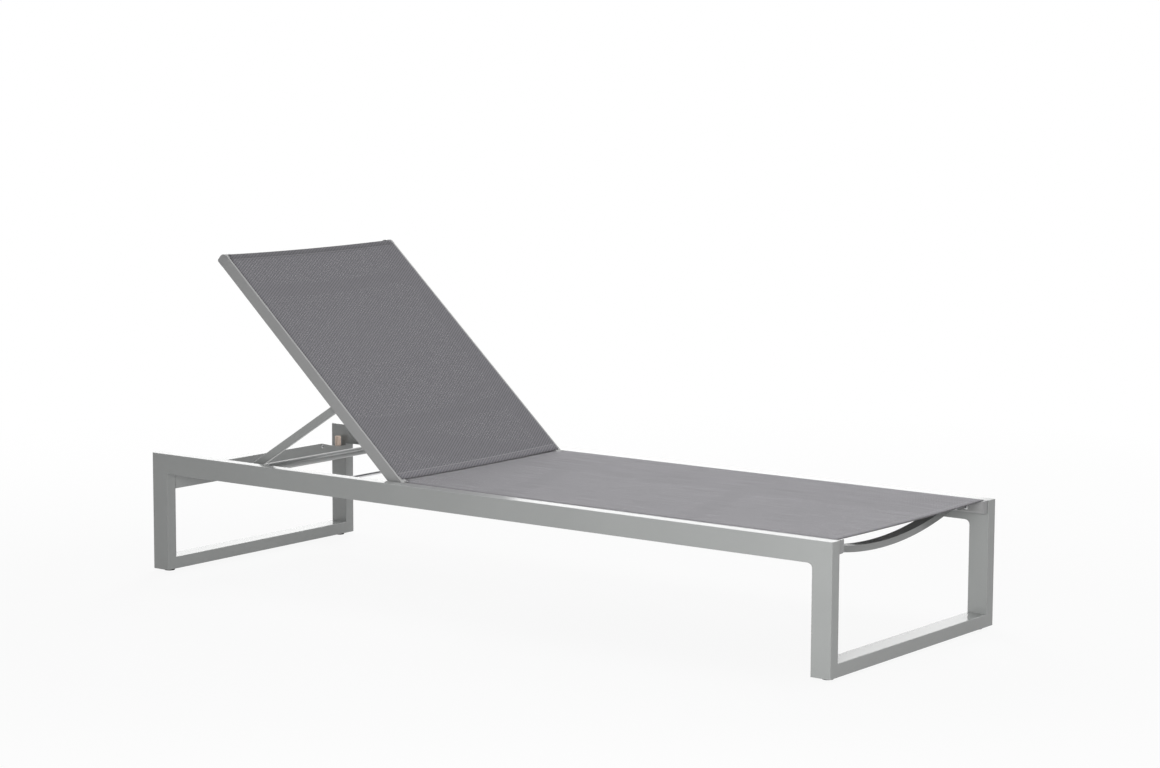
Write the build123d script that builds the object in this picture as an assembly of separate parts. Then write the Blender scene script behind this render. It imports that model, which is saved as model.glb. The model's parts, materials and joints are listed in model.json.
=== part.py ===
from build123d import *
from math import asin, cos, degrees, hypot, radians, sin
import os

# Sun lounger, in millimetres. +X points to the foot end, +Y across, +Z up.
# The origin is on the floor under the middle of the frame.

# frame
frame_length = 2000.0
frame_width = 700.0
seat_height = 300.0
tube_wide = 50.0
tube_narrow = 30.0
tube_wall = 2.0
tube_edge = 1.5
weld_radius = 11.0
weld_toe = 0.4

# glides
glide_height = 6.0
glide_radius = 13.0
glide_round = 2.0
glide_from_side = 30.0
glide_stem_radius = 4.0
glide_stem_length = 10.0

# head crossbar and the stops on it
crossbar_below_top = 40.0
crossbar_wall = 2.5
shoulder_drop = 15.0
shoulder_length = 35.0
shoulder_run = 95.0
insert_length = 104.0
insert_end_gap = 1.0
insert_screw_from_leg = 93.0
insert_screw_below = 8.0
stop_radius = 8.0
stop_edge = 1.0
stop_from_leg = 14.0
stop_stem_radius = 3.0
stop_stem_length = 14.0
stop_gap = 0.4

# sling track
track_width = 20.0
track_depth = 30.0
track_wall = 2.0
track_edge = 1.0
track_round = 6.0
groove_radius = 4.2
groove_from_side = 7.0
groove_from_top = 7.0
slit_width = 3.0
groove_boss_width = 13.0
groove_boss_depth = 13.5
cap_plate = 3.0
plug_length = 14.0
plug_play = 0.2

# slings and the welt rods in their hems
sling_thickness = 1.2
sling_lift = 0.3
welt_radius = 2.5
hem_play = 0.05
seat_sling_start = 6.0
seat_sling_setback = 10.0
seat_tongue_reach = 30.5
tongue_side_gap = 3.0

# seat
seat_track_length = 1197.5
seat_track_setback = 2.5
seat_arch_width = 29.0
seat_arch_sag = 41.5
seat_arch_rise = 1.0
seat_arch_setback = 85.0
seat_arch_clear = 23.0
arch_thickness = 15.0
arch_wall = 1.5
track_screw_setback = 47.7
track_screw_clear = 115.0
track_screw_height = 13.0
track_screw_grip = 8.0

# tabs that hold the arches
tab_thickness = 2.5
tab_length = 22.0
tab_height = 12.0
tab_reach = 18.0
tab_lift = 2.0

# back
back_angle = 42.0
hinge_from_track = 21.4
back_track_length = 727.5
back_track_start = 22.0
back_side_gap = 8.7
top_cap_length = 22.0
top_cap_front_round = 15.0
top_cap_rear_round = 5.0
back_sling_start = 12.0
back_sling_reach = 10.5
back_arch_width = 28.0
back_arch_sag = 22.0
back_arch_depth = 9.0
lower_arch_place = 189.0
upper_arch_setback = 107.5

# hinge bolts
bolt_radius = 4.0
bolt_head_radius = 7.0
bolt_head_height = 4.5
bolt_edge = 1.0
bush_wall = 2.6
running_play = 0.08
fixed_play = 0.05
face_play = 0.2
washer_radius = 9.0
insert_wall = 2.0
insert_collar = 2.0
insert_grip = 14.0
track_insert_grip = 6.5

# prop
prop_pivot_place = 269.1
prop_length = 363.7
foot_above_rail = 22.547
arm_depth = 20.0
arm_thickness = 10.0
arm_edge = 2.0
arm_side_gap = 1.0
foot_radius = 10.0
foot_wall = 1.5
foot_end_gap = 1.5
foot_cap_thickness = 3.0
foot_cap_round = 1.5
foot_plug_length = 12.0

# racks
rack_thickness = 8.0
rack_play = 0.5
notch_depth = 6.0
notch_play = 0.5
notch_angles = (34.0, 42.0, 51.0, 60.0)
rack_first_angle = 28.0
rack_samples = 14
rack_tail = 18.0
rack_screw_height = 5.5

# tie rod
rod_radius = 4.0
rod_from_hinge = 299.0
rod_below_top = 42.0
socket_radius = 7.0
socket_length = 6.0

# small screws
screw_radius = 2.5
screw_head_radius = 5.0
screw_head_height = 2.6
screw_round = 1.0
ring_radius = 5.7
ring_thickness = 0.8
screw_grip = 7.0
countersunk_radius = 4.5

overrun = 20.0

head_x = -frame_length / 2
foot_x = frame_length / 2
outer_y = frame_width / 2
inner_y = outer_y - tube_narrow
rail_low = seat_height - tube_wide
seat_track_end = foot_x - seat_track_setback
seat_track_start = seat_track_end - seat_track_length
hinge_x = seat_track_start - hinge_from_track
hinge_z = seat_height - track_depth / 2
back_outer_y = inner_y - back_side_gap
back_inner_y = back_outer_y - track_width
seat_inner_y = inner_y - track_width
arm_outer_y = back_inner_y - arm_side_gap
arm_inner_y = arm_outer_y - arm_thickness
boss_low = track_depth - groove_boss_depth
track_screw_z = seat_height - track_depth + track_screw_height
rod_x = hinge_x - rod_from_hinge
rod_z = seat_height - rod_below_top
crossbar_x = head_x + tube_wide - tube_narrow / 2
crossbar_top = seat_height - crossbar_below_top
crossbar_low = crossbar_top - tube_wide
shoulder_z = crossbar_top - shoulder_drop
stop_y = inner_y - stop_from_leg
stop_top = seat_height - track_depth - stop_gap


def block(x0, x1, y0, y1, z0, z1):
    middle = Pos((x0 + x1) / 2, (y0 + y1) / 2, (z0 + z1) / 2)
    return middle * Box(abs(x1 - x0), abs(y1 - y0), abs(z1 - z0))


def rod(x, z, y0, y1, radius):
    return Pos(x, (y0 + y1) / 2, z) * Rot(90, 0, 0) * Cylinder(radius, abs(y1 - y0))


def pair(shape):
    return [shape, mirror(shape, Plane.XZ)]


def raised(shape, angle=back_angle):
    return shape.rotate(Axis((hinge_x, 0, hinge_z), (0, 1, 0)), angle)


def save(name, shapes):
    solids = [solid for shape in shapes for solid in shape.solids()]
    whole = solids[0] if len(solids) == 1 else Compound(children=solids)
    whole.label = name
    export_step(whole, "parts/" + name + ".step")
    print(name, len(solids), "solids")


def tube(length, wide, narrow, wall):
    section = RectangleRounded(wide, narrow, tube_edge) - Rectangle(wide - 2 * wall, narrow - 2 * wall)
    return extrude(section, length / 2, both=True)


def mitred(shape, point, normal):
    return split(shape, Plane(origin=point, z_dir=normal), keep=Keep.BOTTOM)


# frame tubes: each corner is a mitre
def side_rail():
    rail = Rot(0, 90, 0) * tube(frame_length, tube_wide, tube_narrow, tube_wall)
    rail = Pos(0, outer_y - tube_narrow / 2, seat_height - tube_wide / 2) * rail
    rail = mitred(rail, (foot_x, 0, seat_height), (1, 0, -1))
    return mitred(rail, (head_x, 0, seat_height), (-1, 0, -1))


def leg(end_x, way):
    post = tube(seat_height - glide_height, tube_wide, tube_narrow, tube_wall)
    middle_z = (seat_height + glide_height) / 2
    post = Pos(end_x - way * tube_wide / 2, outer_y - tube_narrow / 2, middle_z) * post
    post = mitred(post, (end_x, 0, seat_height), (-way, 0, 1))
    return mitred(post, (0, outer_y, glide_height), (0, -1, -1))


def weld_fillet(end_x, way):
    corner_x = end_x - way * tube_wide
    reach = weld_radius + weld_toe
    body = block(corner_x, corner_x - way * reach, inner_y + tube_edge, outer_y - tube_edge,
                 rail_low - reach, rail_low)
    return body - rod(corner_x - way * reach, rail_low - reach, inner_y, outer_y, weld_radius)


def floor_bar(end_x, way):
    bar = Rot(90, 0, 0) * tube(frame_width, tube_wide, tube_narrow, tube_wall)
    bar = Pos(end_x - way * tube_wide / 2, 0, glide_height + tube_narrow / 2) * bar
    bar = mitred(bar, (0, outer_y, glide_height), (0, 1, 1))
    bar = mitred(bar, (0, -outer_y, glide_height), (0, -1, 1))
    for side in (-1, 1):
        hole = Cylinder(glide_stem_radius + fixed_play, 4 * tube_wall)
        bar -= Pos(end_x - way * tube_wide / 2, side * (outer_y - glide_from_side), glide_height) * hole
    return bar


def glide(end_x, way):
    foot = Pos(0, 0, glide_height / 2) * Cylinder(glide_radius, glide_height)
    foot = fillet(foot.edges().filter_by(GeomType.CIRCLE).sort_by(Axis.Z)[0], glide_round)
    stem = Pos(0, 0, glide_height + glide_stem_length / 2) * Cylinder(glide_stem_radius, glide_stem_length)
    return Pos(end_x - way * tube_wide / 2, outer_y - glide_from_side, 0) * (foot + stem)


# screws lie along Y with the head towards the middle of the lounger
def screw(x, z, face_y, length, radius=screw_radius, head=screw_head_radius, height=screw_head_height,
          edge=screw_round):
    cap = rod(x, z, face_y - height, face_y, head)
    cap = fillet(cap.edges().filter_by(GeomType.CIRCLE).sort_by(Axis.Y)[0], edge)
    return cap + rod(x, z, face_y, face_y + length, radius)


def countersunk(x, z, face_y, length):
    cone = Solid.make_cone(countersunk_radius, screw_radius, countersunk_radius - screw_radius,
                           Plane(origin=(x, face_y, z), z_dir=(0, 1, 0)))
    return cone.fuse(rod(x, z, face_y, face_y + length, screw_radius))


def ring(x, z, face_y, outer, inner, thickness):
    return rod(x, z, face_y - thickness, face_y, outer) - rod(x, z, face_y - thickness, face_y, inner)


# head crossbar: its ends are pressed down to carry the stops
def crossbar_outline(wall, reach):
    low = crossbar_low + wall
    high = crossbar_top - wall
    shoulder = shoulder_z - wall
    lean = wall * shoulder_drop / (shoulder_run - shoulder_length) / 2
    run_y = inner_y - shoulder_run - lean
    flat_y = inner_y - shoulder_length - lean
    return Polygon((-reach, low), (reach, low), (reach, shoulder), (flat_y, shoulder), (run_y, high),
                   (-run_y, high), (-flat_y, shoulder), (-reach, shoulder), align=None)


def crossbar():
    across = Plane(origin=(crossbar_x, 0, 0), x_dir=(0, 1, 0), z_dir=(1, 0, 0))
    body = extrude(across * crossbar_outline(0, inner_y), tube_narrow / 2, both=True)
    hollow = crossbar_outline(crossbar_wall, inner_y + overrun)
    body -= extrude(across * hollow, tube_narrow / 2 - crossbar_wall, both=True)
    for side in (-1, 1):
        front = Pos(crossbar_x + tube_narrow / 2, side * (inner_y - insert_screw_from_leg),
                    crossbar_top - insert_screw_below)
        body -= front * Rot(0, 90, 0) * Cylinder(screw_radius + fixed_play, 4 * crossbar_wall)
        body -= Pos(crossbar_x, side * stop_y, shoulder_z) * Cylinder(stop_stem_radius + fixed_play,
                                                                     4 * crossbar_wall)
    return body


def crossbar_insert():
    across = Plane(origin=(crossbar_x, 0, 0), x_dir=(0, 1, 0), z_dir=(1, 0, 0))
    body = extrude(across * crossbar_outline(crossbar_wall, inner_y + overrun), tube_narrow / 2 - crossbar_wall,
                   both=True)
    end_y = inner_y - insert_end_gap
    body &= block(crossbar_x - tube_narrow, crossbar_x + tube_narrow, end_y - insert_length, end_y,
                  crossbar_low, crossbar_top)
    front = Pos(crossbar_x + tube_narrow / 2, inner_y - insert_screw_from_leg, crossbar_top - insert_screw_below)
    body -= front * Rot(0, 90, 0) * Cylinder(screw_radius + fixed_play, 2 * (screw_grip + fixed_play))
    hole = Cylinder(stop_stem_radius + fixed_play, 2 * (stop_stem_length + fixed_play))
    return body - Pos(crossbar_x, stop_y, shoulder_z) * hole


def crossbar_screw():
    turned = screw(0, 0, 0, screw_grip)
    front = Pos(crossbar_x + tube_narrow / 2, inner_y - insert_screw_from_leg, crossbar_top - insert_screw_below)
    return front * Rot(0, 0, 90) * turned


def head_stop():
    height = stop_top - shoulder_z
    body = Pos(0, 0, height / 2) * Cylinder(stop_radius, height)
    body = fillet(body.edges().filter_by(GeomType.CIRCLE).sort_by(Axis.Z)[-1], stop_edge)
    body += Pos(0, 0, -stop_stem_length / 2) * Cylinder(stop_stem_radius, stop_stem_length)
    return Pos(crossbar_x, stop_y, shoulder_z) * body


# sling track: the section's first axis runs inwards from the outer face, the second up from the underside
def track_outline():
    outline = Pos(track_width / 2, track_depth / 2) * Rectangle(track_width, track_depth)
    inner = outline.vertices().group_by(Axis.X)[-1].sort_by(Axis.Y)
    outer = outline.vertices().group_by(Axis.X)[0]
    outline = fillet([inner[0]], track_round)
    return fillet(outline.vertices().group_by(Axis.X)[0] + outline.vertices().sort_by(Axis.Y)[-1:], track_edge)


def track_chamber():
    wide = track_width - 2 * track_wall
    deep = track_depth - 2 * track_wall
    chamber = Pos(track_width / 2, track_depth / 2) * Rectangle(wide, deep)
    chamber = fillet(chamber.vertices().group_by(Axis.X)[-1].sort_by(Axis.Y)[0:1], track_round - track_wall)
    boss = Pos(groove_boss_width / 2, track_depth - groove_boss_depth / 2)
    return chamber - boss * Rectangle(groove_boss_width, groove_boss_depth)


def track(start_x, length, face_y):
    groove_y = track_depth - groove_from_top
    section = track_outline() - track_chamber()
    section -= Pos(groove_from_side, groove_y) * Circle(groove_radius)
    section -= Pos(groove_from_side, groove_y + track_depth / 2) * Rectangle(slit_width, track_depth)
    lie = Plane(origin=(start_x, face_y, seat_height - track_depth), x_dir=(0, -1, 0), z_dir=(-1, 0, 0))
    return extrude(lie * section, length)


def track_plug(start_x, way, face_y, length):
    far_u = track_width - track_round
    low_v = track_round
    high_v = boss_low - plug_play
    low_z = seat_height - track_depth
    return block(start_x, start_x + way * length, face_y - track_wall - plug_play, face_y - far_u,
                 low_z + low_v, low_z + high_v)


def track_cap(start_x, way, face_y):
    lie = Plane(origin=(start_x, face_y, seat_height - track_depth), x_dir=(0, -1, 0), z_dir=(-1, 0, 0))
    plate = extrude(lie * track_outline(), -way * cap_plate)
    return plate + track_plug(start_x, -way, face_y, plug_length)


# a sling is one sheet whose hems go down the slits and round the welt rods
def sling(face_y, sheet_x0, sheet_x1, hem_x0, hem_x1):
    groove_z = seat_height - groove_from_top
    low = seat_height + sling_lift
    high = low + sling_thickness
    hem_y = face_y - groove_from_side
    tail = 2 * sling_thickness
    edge_y = hem_y + tail / 2
    sheet = block(sheet_x0, sheet_x1, -edge_y, edge_y, low, high)
    across = Plane(origin=(hem_x0, 0, 0), x_dir=(0, 1, 0), z_dir=(1, 0, 0))
    hem = Pos(hem_y, groove_z) * Circle(welt_radius + sling_thickness)
    hem += Pos(hem_y, (groove_z + high) / 2) * Rectangle(tail, high - groove_z)
    hem -= Pos(hem_y, groove_z) * Circle(welt_radius + hem_play)
    edge = extrude(across * hem, hem_x1 - hem_x0)
    return sheet + edge + mirror(edge, Plane.XZ)


def welt(face_y, x0, x1):
    middle = Pos((x0 + x1) / 2, face_y - groove_from_side, seat_height - groove_from_top)
    return middle * Rot(0, 90, 0) * Cylinder(welt_radius, x1 - x0)


# arches bow away from the sling between the inner faces of a pair of tracks
def arch(x0, x1, half_span, end_low, sag):
    radius = (half_span ** 2 + sag ** 2) / (2 * sag)
    centre_z = end_low - sag + radius
    across = Plane(origin=(x0, 0, 0), x_dir=(0, 1, 0), z_dir=(1, 0, 0))
    strip = Pos(0, end_low) * Rectangle(2 * half_span, 4 * sag + 4 * arch_thickness)
    band = Pos(0, centre_z) * (Circle(radius) - Circle(radius - arch_thickness))
    core = Pos(0, centre_z) * (Circle(radius - arch_wall) - Circle(radius - arch_thickness + arch_wall))
    body = extrude(across * (band & strip), x1 - x0)
    inner = Plane(origin=(x0 + arch_wall, 0, 0), x_dir=(0, 1, 0), z_dir=(1, 0, 0))
    return body - extrude(inner * (core & strip), x1 - x0 - 2 * arch_wall)


# an angle tab lies on the track and on the arch's side, and is screwed to the track
def tab(arch_x, way, face_y, low):
    on_track = block(arch_x, arch_x + way * tab_length, face_y - tab_thickness, face_y, low, low + tab_height)
    on_arch = block(arch_x, arch_x + way * tab_thickness, face_y - tab_reach, face_y, low, low + tab_height)
    screw_x = arch_x + way * (tab_thickness + tab_length) / 2
    hole = rod(screw_x, low + tab_height / 2, face_y - tab_reach, face_y, screw_radius + fixed_play)
    return on_track + on_arch - hole


def tab_screw(arch_x, way, face_y, low):
    screw_x = arch_x + way * (tab_thickness + tab_length) / 2
    return screw(screw_x, low + tab_height / 2, face_y - tab_thickness, screw_grip)


def tab_hole(arch_x, way, face_y, low):
    screw_x = arch_x + way * (tab_thickness + tab_length) / 2
    return rod(screw_x, low + tab_height / 2, face_y - track_wall - fixed_play, face_y + 2 * track_wall,
               screw_radius + fixed_play)


# the prop's foot for a given angle of the back: level at rest and at the steepest setting
rest_pivot_x = hinge_x - prop_pivot_place * cos(radians(back_angle))
rest_pivot_z = hinge_z + prop_pivot_place * sin(radians(back_angle))
steepest_pivot_z = hinge_z + prop_pivot_place * sin(radians(notch_angles[-1]))
foot_level = rail_low + foot_above_rail
prop_angle = degrees(asin((rest_pivot_z - foot_level) / prop_length))
steepest_angle = degrees(asin((steepest_pivot_z - foot_level) / prop_length))
prop_turn_share = (steepest_angle - prop_angle) / (notch_angles[-1] - back_angle)


def foot_at(angle):
    pivot_x = hinge_x - prop_pivot_place * cos(radians(angle))
    pivot_z = hinge_z + prop_pivot_place * sin(radians(angle))
    slope = radians(prop_angle + prop_turn_share * (angle - back_angle))
    return pivot_x - prop_length * cos(slope), pivot_z - prop_length * sin(slope)


def crest_at(angle, drop):
    before = foot_at(angle - 1)
    after = foot_at(angle + 1)
    run = hypot(after[0] - before[0], after[1] - before[1])
    x, z = foot_at(angle)
    return x + drop * (after[1] - before[1]) / run, z - drop * (after[0] - before[0]) / run


def rack_screw_places():
    feet = [foot_at(angle)[0] for angle in notch_angles]
    return [(a + b) / 2 for a, b in zip(feet[:-1], feet[1:])]


def track_screw_places():
    first = foot_x - track_screw_setback
    last = seat_track_start + track_screw_clear
    return [first, (first + last) / 2, last]


def rack():
    drop = foot_radius + rack_play
    last = notch_angles[-1]
    step = (last - rack_first_angle) / rack_samples
    crest = [crest_at(rack_first_angle + step * count, drop) for count in range(rack_samples + 1)]
    tail_x = crest[-1][0] + rack_tail
    outline = Polygon((crest[0][0], rail_low), *crest, (tail_x, crest[-1][1]), (tail_x, rail_low), align=None)
    across = Plane(origin=(0, inner_y - rack_thickness / 2, 0), x_dir=(1, 0, 0), z_dir=(0, -1, 0))
    body = extrude(across * outline, rack_thickness / 2, both=True)
    for angle in notch_angles:
        x, z = crest_at(angle, drop + notch_depth - foot_radius - notch_play)
        body -= rod(x, z, inner_y, inner_y - rack_thickness, foot_radius + notch_play)
    for x in rack_screw_places():
        z = rail_low + rack_screw_height
        body -= rod(x, z, inner_y, inner_y - rack_thickness, screw_radius + fixed_play)
        cone = Solid.make_cone(countersunk_radius + fixed_play, screw_radius + fixed_play,
                               countersunk_radius - screw_radius,
                               Plane(origin=(x, inner_y - rack_thickness, z), z_dir=(0, 1, 0)))
        body -= cone
    return body


os.makedirs("parts", exist_ok=True)

rack_hole_z = rail_low + rack_screw_height
tie_socket = ring(rod_x, rod_z, inner_y, socket_radius, rod_radius + fixed_play, socket_length)
rail = side_rail()
rail_holes = [(x, track_screw_z, screw_radius) for x in track_screw_places()]
rail_holes += [(x, rack_hole_z, screw_radius) for x in rack_screw_places()]
rail_holes += [(hinge_x, hinge_z, bolt_radius + insert_wall)]
for x, z, radius in rail_holes:
    rail -= rod(x, z, inner_y - tube_wall, inner_y + 2 * tube_wall, radius + fixed_play)
near_rail = mirror(rail, Plane.XZ)
save("side_rail_far", [rail])
save("side_rail_near", [near_rail])
for name, end_x, way in (("head", head_x, -1), ("foot", foot_x, 1)):
    post = leg(end_x, way)
    if way > 0:
        post += weld_fillet(end_x, way)
    save(name + "_leg_far", [post])
    save(name + "_leg_near", [mirror(post, Plane.XZ)])
    save(name + "_floor_bar", [floor_bar(end_x, way)])
save("glides", pair(glide(head_x, -1)) + pair(glide(foot_x, 1)))

save("head_crossbar", [crossbar()])
save("crossbar_inserts", pair(crossbar_insert()))
save("crossbar_screws", pair(crossbar_screw()))
save("head_stops", pair(head_stop()))

# seat
first_arch_x = foot_x - seat_arch_setback
last_arch_x = seat_track_start + seat_arch_clear + seat_arch_width
arch_ends = [first_arch_x, (first_arch_x + last_arch_x) / 2, last_arch_x]
arch_names = ("seat_arch_foot", "seat_arch_middle", "seat_arch_hinge")
seat_arch_low = seat_height - track_depth + seat_arch_rise
seat_tab_low = seat_arch_low + tab_lift
seat_track = track(seat_track_end - cap_plate, seat_track_length - 2 * cap_plate, inner_y)
for x in track_screw_places():
    seat_track -= rod(x, track_screw_z, seat_inner_y - track_wall, inner_y + track_wall, screw_radius + fixed_play)
for x in arch_ends:
    seat_track -= tab_hole(x, 1, seat_inner_y, seat_tab_low)
save("seat_track_far", [seat_track])
save("seat_track_near", [mirror(seat_track, Plane.XZ)])
save("seat_track_caps", pair(track_cap(seat_track_end - cap_plate, 1, inner_y))
     + pair(track_cap(seat_track_start + cap_plate, -1, inner_y)))
for name, x in zip(arch_names, arch_ends):
    save(name, [arch(x - seat_arch_width, x, seat_inner_y, seat_arch_low, seat_arch_sag)])
save("seat_arch_tabs", [solid for x in arch_ends for solid in pair(tab(x, 1, seat_inner_y, seat_tab_low))])
save("seat_tab_screws", [solid for x in arch_ends for solid in pair(tab_screw(x, 1, seat_inner_y, seat_tab_low))])
track_screw_list = []
track_ring_list = []
for x in track_screw_places():
    head_y = seat_inner_y - ring_thickness
    track_screw_list += pair(screw(x, track_screw_z, head_y, track_width + ring_thickness + track_screw_grip))
    track_ring_list += pair(ring(x, track_screw_z, seat_inner_y, ring_radius, screw_radius + fixed_play,
                                 ring_thickness))
save("track_screws", track_screw_list)
save("track_rings", track_ring_list)
seat_hem_start = seat_track_start + cap_plate + face_play
seat_sling_end = foot_x - seat_sling_setback
seat_sheet = sling(inner_y, seat_track_start - seat_sling_start, seat_sling_end, seat_hem_start, seat_sling_end)
tongue_y = back_inner_y - tongue_side_gap
tongue_low = seat_height + sling_lift
seat_sheet += block(seat_track_start - seat_tongue_reach, seat_track_start, -tongue_y, tongue_y, tongue_low,
                    tongue_low + sling_thickness)
save("seat_sling", [seat_sheet])
save("seat_welts", pair(welt(inner_y, seat_hem_start, seat_sling_end)))

# back, drawn flat and then turned up about its hinge
track_x = hinge_x - back_track_start
track_end_x = track_x - back_track_length
pivot_flat_x = hinge_x - prop_pivot_place
insert_radius = bolt_radius + insert_wall
back_arch_low = seat_height - back_arch_depth - arch_thickness
back_tab_low = back_arch_low + tab_lift
lower_x = hinge_x - lower_arch_place
upper_x = track_end_x + upper_arch_setback
back_track = track(track_x, back_track_length, back_outer_y)
back_track -= rod(pivot_flat_x, hinge_z, back_inner_y - track_wall, back_inner_y + 2 * track_wall,
                  insert_radius + fixed_play)
back_track -= tab_hole(lower_x, 1, back_inner_y, back_tab_low)
back_track -= tab_hole(upper_x - back_arch_width, -1, back_inner_y, back_tab_low)
back_track = raised(back_track)
save("back_track_far", [back_track])
save("back_track_near", [mirror(back_track, Plane.XZ)])

bush_radius = bolt_radius + running_play + bush_wall
hinge_end = rod(hinge_x, hinge_z, back_inner_y, back_outer_y, track_depth / 2)
hinge_end += block(hinge_x, track_x, back_inner_y, back_outer_y, seat_height - track_depth, seat_height)
hinge_end += track_plug(track_x, -1, back_outer_y, plug_length)
hinge_end -= rod(hinge_x, hinge_z, back_inner_y - overrun, back_outer_y + overrun, bush_radius + fixed_play)
save("back_hinge_ends", pair(raised(hinge_end)))

cap_x = track_end_x - top_cap_length
side_on = Plane(origin=(0, back_inner_y, 0), x_dir=(1, 0, 0), z_dir=(0, -1, 0))
cap_low = seat_height - track_depth
cap_face = Polygon((track_end_x, cap_low), (track_end_x, seat_height), (cap_x, seat_height), (cap_x, cap_low),
                   align=None)
cap_corners = cap_face.vertices().group_by(Axis.X)[0].sort_by(Axis.Y)
cap_face = fillet([cap_corners[1]], top_cap_front_round)
cap_face = fillet(cap_face.vertices().sort_by(Axis.X)[0:2].sort_by(Axis.Y)[0:1], top_cap_rear_round)
top_cap = extrude(side_on * cap_face, -track_width)
top_cap += track_plug(track_end_x, 1, back_outer_y, plug_length)
save("back_top_caps", pair(raised(top_cap)))

for name, x in (("back_arch_lower", lower_x), ("back_arch_upper", upper_x)):
    save(name, [raised(arch(x - back_arch_width, x, back_inner_y, back_arch_low, back_arch_sag))])
back_tab_places = ((lower_x, 1), (upper_x - back_arch_width, -1))
save("back_arch_tabs", [solid for x, way in back_tab_places
                        for solid in pair(raised(tab(x, way, back_inner_y, back_tab_low)))])
save("back_tab_screws", [solid for x, way in back_tab_places
                         for solid in pair(raised(tab_screw(x, way, back_inner_y, back_tab_low)))])
back_hem_start = track_x - face_play
save("back_sling", [raised(sling(back_outer_y, track_end_x - back_sling_reach, hinge_x - back_sling_start,
                                 track_end_x + face_play, back_hem_start))])
save("back_welts", pair(raised(welt(back_outer_y, track_end_x + face_play, back_hem_start))))

# hinge between back and frame
save("hinge_bushes", pair(raised(ring(hinge_x, hinge_z, back_outer_y, bush_radius, bolt_radius + running_play,
                                      track_width))))
hinge_head_y = back_inner_y - face_play
hinge_grip = inner_y + insert_grip - hinge_head_y
save("hinge_bolts", pair(screw(hinge_x, hinge_z, hinge_head_y, hinge_grip, bolt_radius, bolt_head_radius,
                               bolt_head_height, bolt_edge)))
washer_thickness = back_side_gap - face_play
save("hinge_washers", pair(ring(hinge_x, hinge_z, inner_y, washer_radius, bolt_radius + fixed_play,
                                washer_thickness)))


def insert(x, z, face_y, wall, grip):
    body = rod(x, z, face_y, face_y + grip, insert_radius)
    body += rod(x, z, face_y + wall, face_y + wall + insert_collar, insert_radius + insert_wall)
    return body - rod(x, z, face_y - overrun, face_y + overrun, bolt_radius + fixed_play)


save("hinge_inserts", pair(insert(hinge_x, hinge_z, inner_y, tube_wall, insert_grip)))

# prop
pivot = Axis((rest_pivot_x, 0, rest_pivot_z), (0, 1, 0))
foot_x_rest, foot_z_rest = foot_at(back_angle)
arm = block(rest_pivot_x - prop_length, rest_pivot_x, arm_inner_y, arm_outer_y, rest_pivot_z - arm_depth / 2,
            rest_pivot_z + arm_depth / 2)
arm += rod(rest_pivot_x, rest_pivot_z, arm_inner_y, arm_outer_y, arm_depth / 2)
arm = fillet(arm.edges().filter_by(Axis.X), arm_edge)
arm -= rod(rest_pivot_x, rest_pivot_z, arm_inner_y - overrun, arm_outer_y + overrun, bush_radius - bush_wall
           + insert_wall + fixed_play)
arm -= rod(rest_pivot_x - prop_length, rest_pivot_z, arm_inner_y - overrun, arm_outer_y + overrun,
           foot_radius + fixed_play)
arm = arm.rotate(pivot, -prop_angle)
save("prop_arm_far", [arm])
save("prop_arm_near", [mirror(arm, Plane.XZ)])
foot_end_y = inner_y - foot_end_gap
foot_tube_y = foot_end_y - foot_cap_thickness
foot_bar = rod(foot_x_rest, foot_z_rest, -foot_tube_y, foot_tube_y, foot_radius)
foot_bar -= rod(foot_x_rest, foot_z_rest, -foot_tube_y, foot_tube_y, foot_radius - foot_wall)
save("prop_foot_bar", [foot_bar])
foot_cap = rod(foot_x_rest, foot_z_rest, foot_tube_y, foot_end_y, foot_radius)
foot_cap = fillet(foot_cap.edges().filter_by(GeomType.CIRCLE).sort_by(Axis.Y)[-1], foot_cap_round)
foot_cap += rod(foot_x_rest, foot_z_rest, foot_tube_y - foot_plug_length, foot_tube_y,
                foot_radius - foot_wall - fixed_play)
save("prop_foot_caps", pair(foot_cap))
arm_bush_radius = bolt_radius + running_play + insert_wall
save("prop_bushes", pair(ring(rest_pivot_x, rest_pivot_z, arm_outer_y, arm_bush_radius, bolt_radius + running_play,
                              arm_thickness)))
prop_head_y = arm_inner_y - face_play
prop_grip = back_inner_y + track_insert_grip - prop_head_y
save("prop_bolts", pair(screw(rest_pivot_x, rest_pivot_z, prop_head_y, prop_grip, bolt_radius, bolt_head_radius,
                              bolt_head_height, bolt_edge)))
save("prop_washers", pair(ring(rest_pivot_x, rest_pivot_z, back_inner_y, washer_radius, bolt_radius + fixed_play,
                               arm_side_gap - face_play)))
save("prop_inserts", pair(insert(rest_pivot_x, rest_pivot_z, back_inner_y, track_wall, track_insert_grip)))

# racks and tie rod
notched = rack()
save("rack_far", [notched])
save("rack_near", [mirror(notched, Plane.XZ)])
save("rack_screws", [solid for x in rack_screw_places()
                     for solid in pair(countersunk(x, rack_hole_z, inner_y - rack_thickness,
                                                   rack_thickness + screw_grip))])
save("tie_rod", [rod(rod_x, rod_z, -inner_y, inner_y, rod_radius)])
save("tie_rod_sockets", pair(tie_socket))
print("foot at rest", round(foot_x_rest, 2), round(foot_z_rest, 2), "turn share", round(prop_turn_share, 6))
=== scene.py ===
import json
import math

import bmesh
import bpy
from mathutils import Matrix, Vector


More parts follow.
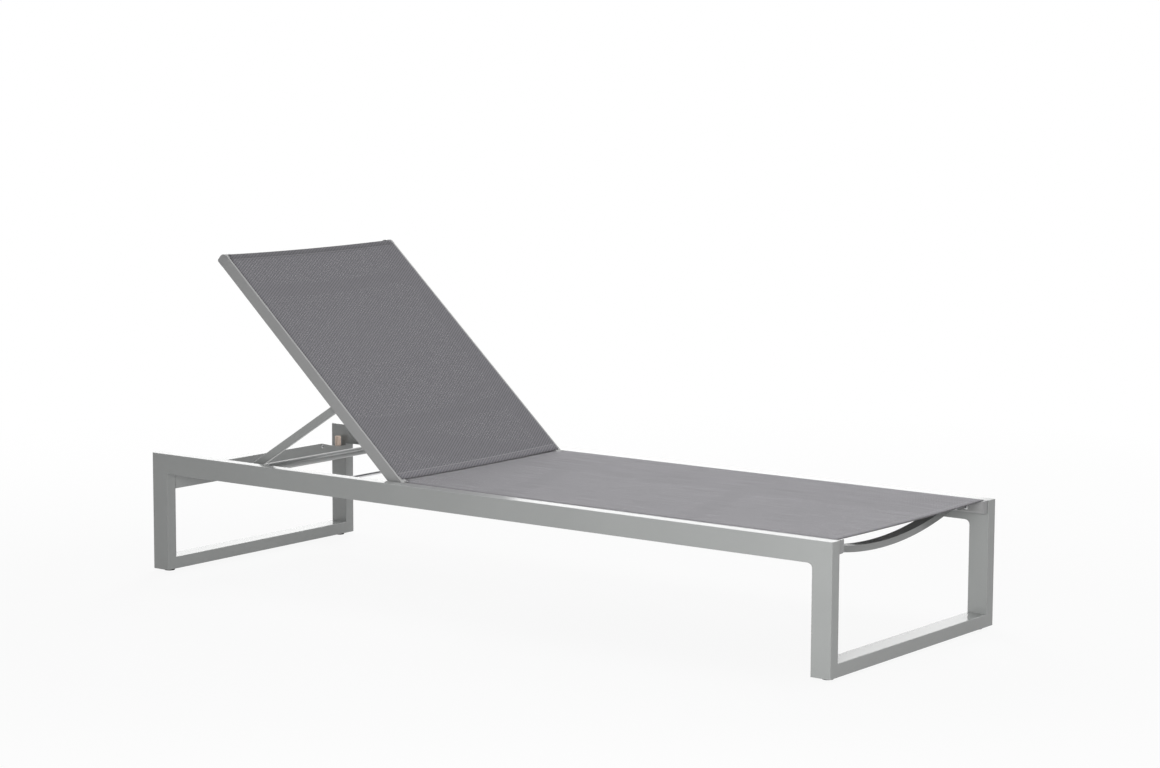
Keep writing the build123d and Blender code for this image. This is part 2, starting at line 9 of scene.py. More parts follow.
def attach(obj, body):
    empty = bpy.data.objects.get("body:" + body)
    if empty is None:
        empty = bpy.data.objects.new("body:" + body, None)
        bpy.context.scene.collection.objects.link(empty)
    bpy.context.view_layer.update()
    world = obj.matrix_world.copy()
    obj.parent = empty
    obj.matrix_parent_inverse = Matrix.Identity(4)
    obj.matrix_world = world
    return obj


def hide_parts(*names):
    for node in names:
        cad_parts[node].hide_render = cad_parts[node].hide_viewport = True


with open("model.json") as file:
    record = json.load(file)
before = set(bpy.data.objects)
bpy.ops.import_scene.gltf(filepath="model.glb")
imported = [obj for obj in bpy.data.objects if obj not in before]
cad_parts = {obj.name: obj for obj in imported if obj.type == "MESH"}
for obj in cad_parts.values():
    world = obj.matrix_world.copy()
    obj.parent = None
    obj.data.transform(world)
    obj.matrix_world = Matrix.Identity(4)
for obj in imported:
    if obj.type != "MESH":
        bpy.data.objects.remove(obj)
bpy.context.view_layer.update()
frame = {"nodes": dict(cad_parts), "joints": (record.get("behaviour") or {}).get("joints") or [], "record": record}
nodes = frame["nodes"]
recline = frame["joints"][0]
hinge = Vector(recline["pos_m"])
backAngle = math.radians(-recline["range_deg"][0])  # the back lies flat at the hinge's lower limit
print("frame loaded:", len(nodes), "nodes")


# materials: detail and roughness of each noise, and the span of a pattern over which dark turns to pale
noiseLook = {"drift": (3.0, 0.5), "peel": (2.0, 0.6), "yarn": (4.0, 0.7), "grain": (3.0, 0.6)}
toneSpan = {"drift": (0.30, 0.70), "cloth": (0.30, 0.75), "grain": (0.35, 0.65)}


def startMaterial(name, values):
    mat = bpy.data.materials.new(name)
    mat.use_nodes = True
    mat.diffuse_color = (*values["colour"], 1.0)
    shader = mat.node_tree.nodes["Principled BSDF"]
    shader.inputs["Base Color"].default_value = (*values["colour"], 1.0)
    shader.inputs["Roughness"].default_value = values["roughness"]
    shader.inputs["Metallic"].default_value = values.get("metallic", 0.0)
    return mat, shader


def addNode(owner, kind, **values):  # owner is a material or the world
    node = owner.node_tree.nodes.new(kind)
    for key, value in values.items():
        setattr(node, key, value)
    return node


def link(owner, source, target):
    owner.node_tree.links.new(source, target)


def mathNode(owner, operation, first, second=None):
    node = addNode(owner, "ShaderNodeMath", operation=operation)
    for socket, value in zip(node.inputs, (first, second)):
        if value is None:
            continue
        if isinstance(value, (int, float)):
            socket.default_value = value
        else:
            link(owner, value, socket)
    return node.outputs[0]


def noiseNode(mat, source, scale, look):
    node = addNode(mat, "ShaderNodeTexNoise")
    node.inputs["Scale"].default_value = scale
    node.inputs["Detail"].default_value, node.inputs["Roughness"].default_value = noiseLook[look]
    link(mat, source, node.inputs["Vector"])
    return node.outputs["Fac"]


def toneNode(mat, source, colour, spread, look):  # the colour, darker and paler as the pattern goes
    node = addNode(mat, "ShaderNodeValToRGB")
    for element, stop, factor in zip(node.color_ramp.elements, toneSpan[look], (1 - spread, 1 + spread)):
        element.position = stop
        element.color = (*[min(1.0, channel * factor) for channel in colour], 1.0)
    link(mat, source, node.inputs["Fac"])
    return node.outputs["Color"]


def bumpNode(mat, shader, height, strength, depth):
    node = addNode(mat, "ShaderNodeBump")
    node.inputs["Strength"].default_value = strength
    node.inputs["Distance"].default_value = depth
    link(mat, height, node.inputs["Height"])
    link(mat, node.outputs["Normal"], shader.inputs["Normal"])


# fine orange peel, a slight drift of tone and a clear top layer
def powderCoat(name, values):
    mat, shader = startMaterial(name, values)
    place = addNode(mat, "ShaderNodeTexCoord").outputs["Object"]
    drift = noiseNode(mat, place, values["driftScale"], "drift")
    tone = toneNode(mat, drift, values["colour"], values["drift"], "drift")
    link(mat, tone, shader.inputs["Base Color"])
    peel = noiseNode(mat, place, values["peelScale"], "peel")
    gloss = addNode(mat, "ShaderNodeMapRange")
    gloss.inputs["To Min"].default_value = values["roughness"] - values["glossSpread"]
    gloss.inputs["To Max"].default_value = values["roughness"] + values["glossSpread"]
    link(mat, peel, gloss.inputs["Value"])
    link(mat, gloss.outputs["Result"], shader.inputs["Roughness"])
    bumpNode(mat, shader, peel, values["peel"], values["peelDepth"])
    shader.inputs["Coat Weight"].default_value = values["coat"]
    shader.inputs["Coat Roughness"].default_value = values["coatRoughness"]
    return mat


# plain weave read from the cloth's own UV, in metres, with slubs, slanted ribs and patches of tone;
# where "hem" isn't 0 it has no gaps and is paler or darker, the darker being painted shade
def meshCloth(name, values):
    mat, shader = startMaterial(name, values)
    uv = addNode(mat, "ShaderNodeUVMap", uv_map="clothUV").outputs["UV"]
    parts = addNode(mat, "ShaderNodeSeparateXYZ")
    link(mat, uv, parts.inputs["Vector"])
    along, across = parts.outputs["X"], parts.outputs["Y"]

    turn = math.pi / values["pitch"]
    waveU = mathNode(mat, "SINE", mathNode(mat, "MULTIPLY", along, turn))
    waveV = mathNode(mat, "SINE", mathNode(mat, "MULTIPLY", across, turn))
    yarnU = mathNode(mat, "ABSOLUTE", waveU)
    yarnV = mathNode(mat, "ABSOLUTE", waveV)
    over = mathNode(mat, "GREATER_THAN", mathNode(mat, "MULTIPLY", waveU, waveV), 0.0)
    top = addNode(mat, "ShaderNodeMix", data_type="FLOAT")
    link(mat, over, top.inputs[0])
    link(mat, yarnU, top.inputs[2])
    link(mat, yarnV, top.inputs[3])
    height = top.outputs[0]

    slub = noiseNode(mat, uv, values["slubScale"], "yarn")
    drawn = addNode(mat, "ShaderNodeMapping")
    drawn.inputs["Scale"].default_value = (1.0, values["patchStretch"], 1.0)
    link(mat, uv, drawn.inputs["Vector"])
    patch = noiseNode(mat, drawn.outputs["Vector"], values["patchScale"], "yarn")
    slant = mathNode(mat, "ADD", along, mathNode(mat, "MULTIPLY", across, values["slant"]))
    rib = mathNode(mat, "SINE", mathNode(mat, "MULTIPLY", slant, math.pi / values["ribPitch"]))
    rib = mathNode(mat, "ABSOLUTE", rib)
    tone = mathNode(mat, "MULTIPLY", height, values["yarnShare"])
    for part, share in ((slub, "slubShare"), (rib, "ribShare"), (patch, "patchShare")):
        tone = mathNode(mat, "ADD", tone, mathNode(mat, "MULTIPLY", part, values[share]))
    plain = toneNode(mat, tone, values["colour"], values["contrast"], "cloth")

    hem = addNode(mat, "ShaderNodeAttribute", attribute_name="hem").outputs["Fac"]
    gain = mathNode(mat, "ADD", 1.0, mathNode(mat, "MULTIPLY", hem, values["hemGain"]))
    tint = addNode(mat, "ShaderNodeVectorMath", operation="SCALE")
    link(mat, plain, tint.inputs[0])
    link(mat, gain, tint.inputs["Scale"])
    link(mat, tint.outputs["Vector"], shader.inputs["Base Color"])
    bumpNode(mat, shader, height, values["bump"], values["yarnDepth"])

    gap = mathNode(mat, "MULTIPLY", mathNode(mat, "LESS_THAN", yarnU, values["gap"]),
                   mathNode(mat, "LESS_THAN", yarnV, values["gap"]))
    offHem = mathNode(mat, "LESS_THAN", mathNode(mat, "ABSOLUTE", hem), values["hemStart"])
    gap = mathNode(mat, "MULTIPLY", gap, offHem)
    behind = addNode(mat, "ShaderNodeNewGeometry").outputs["Backfacing"]
    clear = mathNode(mat, "MAXIMUM", gap, behind)
    link(mat, mathNode(mat, "SUBTRACT", 1.0, clear), shader.inputs["Alpha"])
    shader.inputs["Sheen Weight"].default_value = values["sheen"]
    shader.inputs["Sheen Roughness"].default_value = values["sheenRoughness"]
    shader.inputs["Specular IOR Level"].default_value = values["shine"]
    return mat


def moulded(name, values):  # plastic, rubber, thread or metal with a fine grain
    mat, shader = startMaterial(name, values)
    place = addNode(mat, "ShaderNodeTexCoord").outputs["Object"]
    grain = noiseNode(mat, place, values["grainScale"], "grain")
    tone = toneNode(mat, grain, values["colour"], values["drift"], "grain")
    link(mat, tone, shader.inputs["Base Color"])
    bumpNode(mat, shader, grain, values["bump"], values["grainDepth"])
    shader.inputs["Specular IOR Level"].default_value = values.get("shine", 0.5)
    return mat


satin = {"roughness": 0.42, "drift": 0.03, "driftScale": 7.0, "peelScale": 1500.0, "glossSpread": 0.05,
         "peel": 0.08, "peelDepth": 0.0002, "coat": 0.9, "coatRoughness": 0.12}
coat = {
    "frameCoat": {**satin, "colour": (0.212, 0.219, 0.215)},
    "trackCoat": {**satin, "colour": (0.215, 0.216, 0.216)},
    "capSatin": {**satin, "colour": (0.200, 0.201, 0.203), "roughness": 0.45, "drift": 0.05,
                 "driftScale": 60.0, "peelScale": 700.0, "peel": 0.10, "coat": 0.8, "coatRoughness": 0.20},
}
weave = {"roughness": 0.72, "pitch": 0.0019, "contrast": 0.42, "slubScale": 260.0, "slubShare": 0.25,
         "ribPitch": 0.0068, "slant": 0.577, "bump": 0.5, "yarnDepth": 0.0004, "sheen": 0.05,
         "sheenRoughness": 0.5, "shine": 0.15, "hemStart": 0.1}
# both slings are one cloth: the seat's paler colour is painted light, where light grazes it, and the back's darker
# colour is painted shade
cloth = {
    "seatCloth": {**weave, "colour": (0.154, 0.151, 0.160), "patchScale": 6.0, "patchStretch": 16.0,
                  "yarnShare": 0.25, "ribShare": 0.05, "patchShare": 0.45, "gap": 0.17, "hemGain": 0.05},
    "backCloth": {**weave, "colour": (0.106, 0.104, 0.112), "patchScale": 60.0, "patchStretch": 1.0,
                  "yarnShare": 0.20, "ribShare": 0.35, "patchShare": 0.20, "gap": 0.13, "hemGain": 0.14},
}
small = {
    "glideRubber": {"colour": (0.008, 0.008, 0.008), "roughness": 0.85, "shine": 0.05, "drift": 0.2,
                    "grainScale": 300.0, "bump": 0.2, "grainDepth": 0.0003},
    "capNylon": {"colour": (0.075, 0.075, 0.080), "roughness": 0.5, "drift": 0.12, "grainScale": 500.0,
                 "bump": 0.15, "grainDepth": 0.0002},
    "rackNylon": {"colour": (0.035, 0.035, 0.037), "roughness": 0.48, "drift": 0.15, "grainScale": 500.0,
                  "bump": 0.15, "grainDepth": 0.0002},
    "stopTan": {"colour": (0.78, 0.62, 0.52), "roughness": 0.45, "drift": 0.10, "grainScale": 250.0,
                "bump": 0.15, "grainDepth": 0.0002},
    "washerNylon": {"colour": (0.80, 0.80, 0.78), "roughness": 0.4, "drift": 0.03, "grainScale": 400.0,
                    "bump": 0.1, "grainDepth": 0.0001},
    "weltCord": {"colour": (0.12, 0.12, 0.125), "roughness": 0.6, "drift": 0.1, "grainScale": 600.0,
                 "bump": 0.2, "grainDepth": 0.0002},
    "boltSteel": {"colour": (0.62, 0.62, 0.63), "roughness": 0.28, "metallic": 1.0, "drift": 0.06,
                  "grainScale": 700.0, "bump": 0.08, "grainDepth": 0.0001},
    "seamThread": {"colour": (0.26, 0.26, 0.265), "roughness": 0.6, "drift": 0.1, "grainScale": 900.0,
                   "bump": 0.2, "grainDepth": 0.0001},
    # painted shade: the near-black colour of the screw sockets stands in for the shade inside them
    "socketPaintedShade": {"colour": (0.03, 0.03, 0.03), "roughness": 0.6, "drift": 0.1, "grainScale": 900.0,
                   "bump": 0.1, "grainDepth": 0.0001},
}
finishes = {name: powderCoat(name, values) for name, values in coat.items()}
finishes.update({name: meshCloth(name, values) for name, values in cloth.items()})
finishes.update({name: moulded(name, values) for name, values in small.items()})

slotFinish = {
    "frame_coat": "frameCoat", "track_coat": "trackCoat", "glide": "glideRubber", "cap": "capNylon",
    "cap_grey": "capSatin", "rack": "rackNylon", "insert": "rackNylon", "stop": "stopTan",
    "bush": "washerNylon", "welt": "weltCord", "steel": "boltSteel", "sling_seat": "seatCloth",
    "sling_back": "backCloth",
}
for row in frame["record"]["subparts"]:
    node = nodes[row["node"]]
    node.data.materials.clear()
    node.data.materials.append(finishes[slotFinish[row["material_slot"]]])
print("materials:", len(slotFinish), "slots")


# slings: the cloth bends down into a slit at each side and has a folded, stitched hem at each end;
# headHem is the tone of the hem nearer the head, below 0 for darker as painted shade, and foldDrop is in
# thicknesses
sling = {"thickness": 0.0012, "bend": 0.0014, "drop": 0.0050, "lengthStep": 0.013, "widthStep": 0.009,
         "bendStep": 0.0005, "hem": 0.020, "foldInset": 0.004, "foldSteps": 5, "foldDrop": 1.05}
seatSling = {**sling, "name": "seatMesh", "node": "seat_sling", "body": "frame", "slot": "sling_seat",
             "tracks": ["seat_track_near", "seat_track_far"], "sag": 0.003, "headHem": 1.0}
backSling = {**sling, "name": "backMesh", "node": "back_sling", "body": "backrest", "slot": "sling_back",
             # the back's head hem is darker as painted shade
             "tracks": ["back_track_near", "back_track_far"], "sag": 0.005, "headHem": -1.7}
# in from the plain side hem's outermost point to its slit, half the doubled cloth's width there, and
# the play in telling its corners apart
sideHem = {"slit": 0.0038, "edge": 0.0012, "slack": 0.0003}
stitch = {"pitch": 0.0042, "length": 0.0031, "width": 0.0008, "height": 0.0006, "inset": 0.0175,
          "roundShare": 0.22}
stepSlack = 0.01  # how far a step of the grid may be passed, as a share


def finishMesh(bm, name, finish, body):
    mesh = bpy.data.meshes.new(name)
    bm.to_mesh(mesh)
    bm.free()
    mesh.materials.append(finishes[finish])
    piece = bpy.data.objects.new(name, mesh)
    bpy.context.scene.collection.objects.link(piece)
    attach(piece, body)
    return piece


def aboutHinge(point, angle):
    return hinge + Matrix.Rotation(angle, 3, "Y") @ (point - hinge)


# the sheet's own places, read from the plain sling, laid flat: its ends, where its side hems start and
# end, where it is at its full width, how wide its tongue is, and its top
def slingFrame(values):
    corners = [vert.co.copy() for vert in nodes[values["node"]].data.vertices]
    if values["body"] == "backrest":
        corners = [aboutHinge(corner, -backAngle) for corner in corners]
    halfHem = max(corner.y for corner in corners) - sideHem["slit"]
    slack = sideHem["slack"]
    sheetX = [corner.x for corner in corners if corner.y > halfHem]
    hemX = [corner.x for corner in corners if corner.y > halfHem + sideHem["edge"] + slack]
    place = {"x0": min(corner.x for corner in corners), "x1": max(corner.x for corner in corners),
             "sheet0": min(sheetX), "hem0": min(hemX), "hem1": max(hemX),
             "top": max(corner.z for corner in corners), "halfHem": halfHem}
    tongue = [corner.y for corner in corners if corner.x < place["sheet0"] - slack]
    place["tongue"] = max(tongue) if tongue else halfHem - values["bend"]
    return place


# where a point of the flat cloth ends up: on the sagging sheet, in the bend, or down in the slit
def clothPoint(values, place, x, across, lift=0.0):
    bend = values["bend"]
    flatHalf = place["halfHem"] - bend
    level = place["top"] - values["thickness"] / 2
    side = 1.0 if across >= 0 else -1.0
    run = abs(across) - flatHalf
    if run <= 0:
        sag = values["sag"] * (1 - (across / flatHalf) ** 2)
        point = Vector((x, across, level - sag + lift))
    elif run <= bend * math.pi / 2:
        turn = run / bend
        reach = bend + lift
        y = side * (flatHalf + reach * math.sin(turn))
        point = Vector((x, y, level - bend + reach * math.cos(turn)))
    else:
        down = run - bend * math.pi / 2
        point = Vector((x, side * (flatHalf + bend + lift), level - bend - down))
    if values["body"] == "backrest":
        point = aboutHinge(point, backAngle)
    return point


def gridLines(stops, steps):  # lines between stops, each stretch with its own step
    lines = []
    for first, last, step in zip(stops, stops[1:], steps):
        count = max(1, math.ceil((last - first) / step - stepSlack))
        lines += [first + (last - first) * number / count for number in range(count)]
    return lines + stops[-1:]


def clothGrid(xs, ys):  # a grid, and the place of each of its vertices on the flat cloth
    bm = bmesh.new()
    bmesh.ops.create_grid(bm, x_segments=len(xs) - 1, y_segments=len(ys) - 1, size=1.0)
    flat = {}
    for vert in bm.verts:
        column = round((vert.co.x + 1) / 2 * (len(xs) - 1))
        line = round((vert.co.y + 1) / 2 * (len(ys) - 1))
        flat[vert.index] = (xs[column], ys[line])
    return bm, flat


def flatMiddle(face, flat):
    corners = [flat[vert.index] for vert in face.verts]
    return [sum(values) / len(corners) for values in zip(*corners)]


def layCloth(bm, flat, values, place, hemAt, lift=0.0):
    uvLayer = bm.loops.layers.uv.new("clothUV")
    hemLayer = bm.loops.layers.float.new("hem")
    for face in bm.faces:
        hem = hemAt(flatMiddle(face, flat)[0])
        for loop in face.loops:
            loop[uvLayer].uv = flat[loop.vert.index]
            loop[hemLayer] = hem
    for vert in bm.verts:
        vert.co = clothPoint(values, place, *flat[vert.index], lift)


def addWall(piece, values):
    wall = piece.modifiers.new("wall", "SOLIDIFY")
    wall.thickness = values["thickness"]
    wall.offset = 0.0


def makeSling(values, place, finish):
    flatHalf = place["halfHem"] - values["bend"]
    bendEnd = flatHalf + values["bend"] * math.pi / 2
    stops = [0.0, flatHalf, bendEnd, bendEnd + values["drop"]]
    steps = [values["widthStep"], values["bendStep"], values["drop"]]
    if place["tongue"] < flatHalf:
        stops.insert(1, place["tongue"])
        steps.insert(0, values["widthStep"])
    half = gridLines(stops, steps)
    ys = [-line for line in reversed(half[1:])] + half
    band0, band1 = place["x0"] + values["hem"], place["x1"] - values["hem"]
    stops = (place["x0"], place["sheet0"], place["hem0"], band0, band1, place["hem1"], place["x1"])
    stops = sorted({round(stop, 5) for stop in stops})
    xs = gridLines(stops, [values["lengthStep"]] * (len(stops) - 1))
    bm, flat = clothGrid(xs, ys)
    loose = []
    for face in bm.faces:
        x, y = flatMiddle(face, flat)
        beyondTrack = x < place["hem0"] or x > place["hem1"]
        besideTongue = abs(y) > place["tongue"] and x < place["sheet0"]
        if besideTongue or (abs(y) > flatHalf and beyondTrack):
            loose.append(face)
    layCloth(bm, flat, values, place, lambda x: values["headHem"] if x < band0 else float(x > band1))
    bmesh.ops.delete(bm, geom=loose, context="FACES")
    bm.normal_update()
    piece = finishMesh(bm, values["name"], finish, values["body"])
    addWall(piece, values)
    for polygon in piece.data.polygons:
        polygon.use_smooth = True
    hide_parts(values["node"])
    return piece, 2 * half[-1], place["x1"] - place["x0"]


def makeFold(values, place, finish, endX, inward, half, name):  # the hem's second layer, below the first
    ends = sorted((endX, endX + inward * values["hem"]))
    xs = gridLines(ends, [values["hem"] / values["foldSteps"]])
    ys = gridLines([-half, half], [values["widthStep"]])
    bm, flat = clothGrid(xs, ys)
    layCloth(bm, flat, values, place, lambda x: 1.0, -values["thickness"] * values["foldDrop"])
    bmesh.ops.recalc_face_normals(bm, faces=bm.faces[:])
    piece = finishMesh(bm, name, finish, values["body"])
    addWall(piece, values)
    return piece


def makeStitches(values, place, endX, inward, half, name):
    x = endX + inward * stitch["inset"]
    count = int(2 * half / stitch["pitch"])
    bm = bmesh.new()
    turn = Matrix.Rotation(backAngle, 4, "Y") if values["body"] == "backrest" else Matrix.Identity(4)
    size = Matrix.Diagonal((stitch["width"], stitch["length"], stitch["height"], 1.0))
    for number in range(count):
        across = -half + (number + 0.5) * 2 * half / count
        point = clothPoint(values, place, x, across, values["thickness"] / 2)
        bmesh.ops.create_cube(bm, size=1.0, matrix=Matrix.Translation(point) @ turn @ size)
    bmesh.ops.bevel(bm, geom=bm.edges[:], offset=stitch["width"] * stitch["roundShare"],
                    affect="EDGES", segments=1, profile=0.5, material=-1)
    return finishMesh(bm, name, "seamThread", values["body"])


for values, finish in ((seatSling, "seatCloth"), (backSling, "backCloth")):
    place = slingFrame(values)
    piece, width, length = makeSling(values, place, finish)
    for endX, inward, tag in ((place["x1"], -1, "Foot"), (place["x0"], 1, "Head")):
        half = place["tongue"] if inward > 0 else place["halfHem"] - values["bend"]
        half -= values["foldInset"]
        name = values["name"]
        makeFold(values, place, finish, endX, inward, half, name + "Hem" + tag)
        makeStitches(values, place, endX, inward, half, name + "Seam" + tag)
    print(values["name"], "flat", round(width, 4), "x", round(length, 4))


# screw heads and glides; a share is of the head's radius, and a lift of its height
headShape = {"segments": 24, "sideLift": 0.35, "shoulderShare": 0.93, "shoulderLift": 0.70,
             "domeShare": 0.72, "domeLift": 0.97, "flatShare": 0.55, "socketShare": 0.40,
             "socketSides": 6, "floorLift": 0.35}
smallScrew = {"headHeight": 0.0026, "shaftRadius": 0.0025}
boltSize = {"headHeight": 0.0045, "shaftRadius": 0.0040}
screwNodes = {
    "track_screws": (smallScrew, "frame", "Y"), "seat_tab_screws": (smallScrew, "frame", "Y"),
    "back_tab_screws": (smallScrew, "backrest", "Y"), "crossbar_screws": (smallScrew, "frame", "X"),
    "hinge_bolts": (boltSize, "frame", "Y"), "prop_bolts": (boltSize, "backrest", "Y"),
}
glideShape = {"round": 0.0007}
mergeDistance = 0.000001


def solidBoxes(name):  # the box of each separate solid in a node
    bm = bmesh.new()
    bm.from_mesh(nodes[name].data)
    bmesh.ops.remove_doubles(bm, verts=bm.verts[:], dist=mergeDistance)
    boxes = []
    for first in bm.verts:
        if first.tag:
            continue
        first.tag = True
        reached, corners = [first], []
        while reached:
            vert = reached.pop()
            corners.append(vert.co.copy())
            for edge in vert.link_edges:
                other = edge.other_vert(vert)
                if not other.tag:
                    other.tag = True
                    reached.append(other)
        boxes.append(([min(corner[axis] for corner in corners) for axis in range(3)],
                      [max(corner[axis] for corner in corners) for axis in range(3)]))
    bm.free()
    return boxes


# a closed turned shape along the local Z axis: a disc at the first radius and height, then extruded
# through rings of a radius, a height, a number of sides (0 for round) and a material number
def addTurned(bm, rings, matrix):
    before = len(bm.verts)
    bmesh.ops.create_circle(bm, cap_ends=True, segments=headShape["segments"], radius=rings[0][0])
    bm.faces.ensure_lookup_table()
    cap = bm.faces[-1]
    for vert in cap.verts:
        vert.co.z = rings[0][1]
    for radius, along, sides, matNumber in rings[1:]:
        grown = bmesh.ops.extrude_face_region(bm, geom=[cap])
        cap = [face for face in grown["geom"] if isinstance(face, bmesh.types.BMFace)][0]
        for vert in cap.verts:
            angle = math.atan2(vert.co.y, vert.co.x)
            reach = radius
            if sides:
                wedge = 2 * math.pi / sides
                reach = radius / math.cos((angle + wedge / 2) % wedge - wedge / 2)
            vert.co = (reach * math.cos(angle), reach * math.sin(angle), along)
        for face in {face for vert in cap.verts for face in vert.link_faces}:
            face.material_index = matNumber
    bm.verts.ensure_lookup_table()
    bmesh.ops.transform(bm, matrix=matrix, verts=bm.verts[before:])


def screwRings(radius, length, values):  # from the shaft's end, round the head, to the socket's floor
    high, shaft, shape = values["headHeight"], values["shaftRadius"], headShape
    socket, sides = radius * shape["socketShare"], shape["socketSides"]
    # material 1, on the socket's walls and floor, is the painted shade of the recess
    return [(shaft, high - length), (shaft, 0.0, 0, 0), (radius, 0.0, 0, 0),
            (radius, high * shape["sideLift"], 0, 0),
            (radius * shape["shoulderShare"], high * shape["shoulderLift"], 0, 0),
            (radius * shape["domeShare"], high * shape["domeLift"], 0, 0),
            (radius * shape["flatShare"], high, 0, 0), (socket, high, sides, 0),
            (socket, high * shape["floorLift"], sides, 1)]


# each screw of a node, with its head towards the middle, or towards the foot end for those along X
def makeScrews(name, values, body, axis):
    bm = bmesh.new()
    along = "XYZ".index(axis)
    for low, high in solidBoxes(name):
        centre = [(a + b) / 2 for a, b in zip(low, high)]
        radius = (high[2] - low[2]) / 2
        length = high[along] - low[along]
        way = 1.0 if axis == "X" else -math.copysign(1.0, centre[1])
        tip = high[along] if way > 0 else low[along]
        centre[along] = tip - way * values["headHeight"]
        outward = Vector((way, 0, 0)) if axis == "X" else Vector((0, way, 0))
        turn = outward.to_track_quat("Z", "Y").to_matrix().to_4x4()
        addTurned(bm, screwRings(radius, length, values), Matrix.Translation(centre) @ turn)
    bmesh.ops.recalc_face_normals(bm, faces=bm.faces[:])
    piece = finishMesh(bm, "heads_" + name, "boltSteel", body)
    # the second material paints shade into the sockets
    piece.data.materials.append(finishes["socketPaintedShade"])
    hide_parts(name)


def makeGlides():
    bm = bmesh.new()
    edge = glideShape["round"]
    for low, high in solidBoxes("glides"):
        radius = (high[0] - low[0]) / 2
        rings = [(radius, high[2]), (radius, edge, 0, 0), (radius - edge, 0.0, 0, 0)]
        middle = ((low[0] + high[0]) / 2, (low[1] + high[1]) / 2, 0.0)
        addTurned(bm, rings, Matrix.Translation(middle))
    bmesh.ops.recalc_face_normals(bm, faces=bm.faces[:])
    piece = finishMesh(bm, "rubberGlides", "glideRubber", "frame")
    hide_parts("glides")


for name, (values, body, axis) in screwNodes.items():
    makeScrews(name, values, body, axis)
makeGlides()
print("screws and glides made")


# stage, light and camera: the floor and the world look white, but light the object as a grey would
stageValues = {"floorSize": 80.0, "floorColour": 0.36, "nearWhite": 0.92, "fadeFrom": 1.3, "fadeTo": 3.4,
               "worldDiffuse": 0.12}
lamps = {
    "topBox": {"place": (0.8, 0.5, 3.4), "aim": (0.4, 0.1, 0.2), "size": (3.0, 2.6),
               "power": 100.0, "glossy": False},
    "keyBox": {"place": (1.9, -2.7, 0.9), "aim": (0.9, -0.3, 0.25), "size": (1.6, 1.4),
               "power": 116.0, "glossy": False},
    "endBox": {"place": (0.9, 2.1, 1.3), "aim": (-0.4, 0.2, 0.5), "size": (1.3, 1.0),
               "power": 12.0, "glossy": True},
    "farBox": {"place": (-2.6, 3.0, 2.3), "aim": (-0.1, -0.1, 0.3), "size": (1.6, 1.4),
               "power": 170.0, "glossy": False},
    "gleamBox": {"place": (-2.4, 3.2, 0.95), "aim": (0.2, -0.1, 0.15), "size": (3.2, 1.0),
                 "power": 8.0, "glossy": True},
    "rearBox": {"place": (-3.4, 0.7, 1.7), "aim": (-0.7, 0.0, 0.35), "size": (2.2, 1.8),
                "power": 50.0, "glossy": False},
}
camera = {"place": (4.11919, -5.37902, 1.38769), "yaw": 0.644621, "pitch": 0.127580, "roll": 0.004364,
          "lens": 88.938, "sensor": 36.0, "reach": 100.0}


# 1 for a ray that shows this to the camera, also by gloss or through something clear, and 0 for a ray
# that lights the object
def seenRay(owner):
    path = addNode(owner, "ShaderNodeLightPath").outputs
    seen = mathNode(owner, "MAXIMUM", path["Is Camera Ray"], path["Is Glossy Ray"])
    return mathNode(owner, "MAXIMUM", seen, path["Is Transmission Ray"])


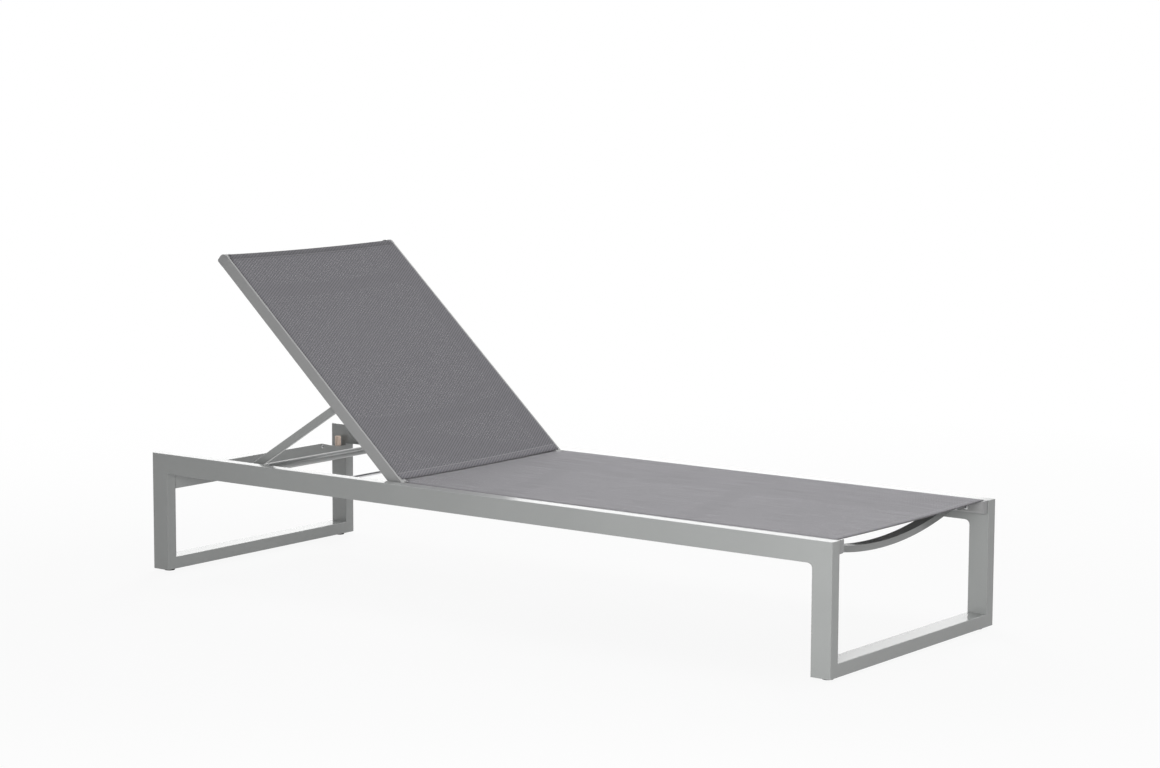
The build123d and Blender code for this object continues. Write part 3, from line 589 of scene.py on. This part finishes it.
# nearly white round the object, where it keeps a soft shadow, and fully white further off
def makeFloor():
    bm = bmesh.new()
    bmesh.ops.create_grid(bm, x_segments=1, y_segments=1, size=stageValues["floorSize"] / 2)
    mesh = bpy.data.meshes.new("floor")
    bm.to_mesh(mesh)
    bm.free()
    floor = bpy.data.objects.new("floor", mesh)
    bpy.context.scene.collection.objects.link(floor)
    mat = bpy.data.materials.new("floorWhite")
    mat.use_nodes = True
    mat.node_tree.nodes.clear()
    out = addNode(mat, "ShaderNodeOutputMaterial")
    matte = addNode(mat, "ShaderNodeBsdfDiffuse")
    matte.inputs["Color"].default_value = (*[stageValues["floorColour"]] * 3, 1.0)
    glow = addNode(mat, "ShaderNodeEmission")
    mix = addNode(mat, "ShaderNodeMixShader")
    away = addNode(mat, "ShaderNodeVectorMath", operation="LENGTH")
    link(mat, addNode(mat, "ShaderNodeTexCoord").outputs["Object"], away.inputs[0])
    fade = addNode(mat, "ShaderNodeMapRange")
    fade.inputs["From Min"].default_value = stageValues["fadeFrom"]
    fade.inputs["From Max"].default_value = stageValues["fadeTo"]
    fade.inputs["To Min"].default_value = stageValues["nearWhite"]
    link(mat, away.outputs["Value"], fade.inputs["Value"])
    link(mat, mathNode(mat, "MULTIPLY", seenRay(mat), fade.outputs["Result"]), mix.inputs["Fac"])
    link(mat, matte.outputs["BSDF"], mix.inputs[1])
    link(mat, glow.outputs["Emission"], mix.inputs[2])
    link(mat, mix.outputs["Shader"], out.inputs["Surface"])
    mesh.materials.append(mat)


def makeWorld():
    world = bpy.data.worlds.new("studio")
    bpy.context.scene.world = world
    world.use_nodes = True
    background = world.node_tree.nodes["Background"]
    background.inputs["Color"].default_value = (1.0, 1.0, 1.0, 1.0)
    level = addNode(world, "ShaderNodeMapRange")
    level.inputs["To Min"].default_value = stageValues["worldDiffuse"]
    level.inputs["To Max"].default_value = 1.0
    link(world, seenRay(world), level.inputs["Value"])
    link(world, level.outputs["Result"], background.inputs["Strength"])


def makeLamps():
    for name, values in lamps.items():
        data = bpy.data.lights.new(name, "AREA")
        data.shape = "RECTANGLE"
        data.size, data.size_y = values["size"]
        data.energy = values["power"]
        lamp = bpy.data.objects.new(name, data)
        lamp.location = values["place"]
        aim = Vector(values["aim"]) - Vector(values["place"])
        lamp.rotation_euler = aim.to_track_quat("-Z", "Y").to_euler()
        lamp.visible_camera = False
        lamp.visible_glossy = values["glossy"]
        bpy.context.scene.collection.objects.link(lamp)


def makeCamera():
    data = bpy.data.cameras.new("camera")
    data.sensor_width = camera["sensor"]
    data.lens = camera["lens"]
    data.clip_end = camera["reach"]
    cam = bpy.data.objects.new("camera", data)
    turn = Matrix.Rotation(camera["yaw"], 4, "Z") @ Matrix.Rotation(math.pi / 2 - camera["pitch"], 4, "X")
    turn = turn @ Matrix.Rotation(camera["roll"], 4, "Z")
    cam.matrix_world = Matrix.Translation(camera["place"]) @ turn
    bpy.context.scene.collection.objects.link(cam)
    bpy.context.scene.camera = cam


makeFloor()
makeWorld()
makeLamps()
makeCamera()
bpy.context.scene.view_settings.view_transform = "Standard"
print("stage, lamps and camera made")
